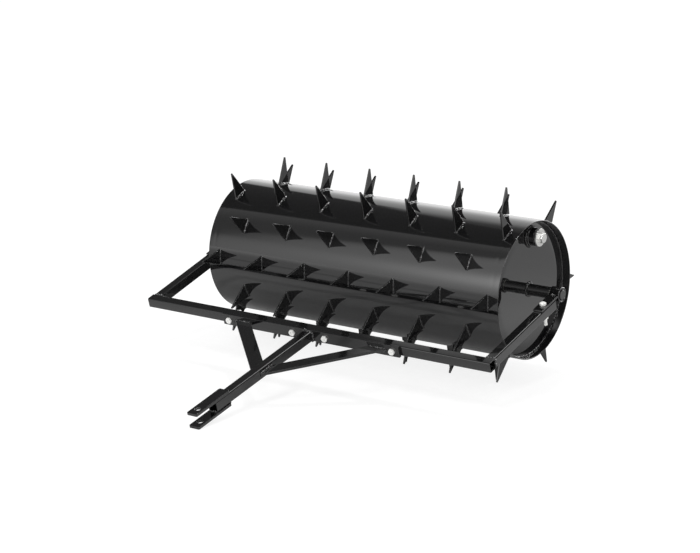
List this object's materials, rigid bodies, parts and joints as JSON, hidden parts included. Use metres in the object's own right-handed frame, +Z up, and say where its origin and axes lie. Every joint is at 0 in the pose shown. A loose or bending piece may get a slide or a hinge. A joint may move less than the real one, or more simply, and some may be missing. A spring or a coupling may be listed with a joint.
{
  "type": "lawn aerator",
  "caption": "Towed lawn aerator: a water-filled steel drum with rows of welded triangular spikes, rolling in a square-tube frame with a braced drawbar and a clevis hitch.",
  "frame": {"origin": "on the ground, under the middle of the machine's box, with the drum on its lowest row of spikes and the hitch's lower ear on the ground", "axes": "+X along the drum's axle towards the fill plug, -Y towards the hitch, +Z up"},
  "size_m": [1.207, 1.184, 0.5614],
  "materials": {
    "black_paint": "gloss",
    "zinc": "bright zinc plate",
    "nylon": "matte",
    "rubber": "matte"
  },
  "bodies": {
    "frame": {"front_bar": "black_paint", "side_arm_left": "black_paint", "side_arm_right": "black_paint", "hitch_plate": "black_paint", "drawbar": "black_paint", "brace_left": "black_paint", "brace_right": "black_paint", "hitch_ear_upper": "black_paint", "hitch_ear_lower": "black_paint", "axle_plate_left": "black_paint", "axle_plate_right": "black_paint", "axle_boss_left": "black_paint", "axle_boss_right": "black_paint", "stub_axle_left": "black_paint", "stub_axle_right": "black_paint", "plate_bolt_1": "zinc", "plate_bolt_2": "zinc", "plate_bolt_3": "zinc", "plate_bolt_4": "zinc", "plate_nut_1": "zinc", "plate_nut_2": "zinc", "plate_nut_3": "zinc", "plate_nut_4": "zinc", "arm_bolt_left": "zinc", "arm_bolt_right": "zinc", "arm_nut_left": "zinc", "arm_nut_right": "zinc"},
    "drum": {"drum_shell": "black_paint", "end_disc_left": "black_paint", "end_disc_right": "black_paint", "centre_tube": "black_paint", "bush_left": "nylon", "bush_right": "nylon", "fill_socket": "black_paint"},
    "plug_seal": {"fill_seal": "rubber"},
    "plug": {"fill_plug": "zinc"}
  },
  "joints": [
    {"name": "drum_turn", "type": "hinge", "parent": "frame", "child": "drum", "pos_m": [0, 0.31133, 0.28092], "axis": [1, 0, 0], "continuous": true},
    {"name": "plug_lift", "type": "slide", "parent": "drum", "child": "plug_seal", "axis": [1, 0, 0], "range_m": [0, 0.01385]},
    {"name": "plug_turn", "type": "hinge", "parent": "plug_seal", "child": "plug", "pos_m": [0.493, 0.31133, 0.43492], "axis": [1, 0, 0], "range_deg": [0, 2160]}
  ],
  "couplings": [
    {"joint": "plug_lift", "follows": "plug_turn", "m_per_rad": 0.00036749}
  ]
}
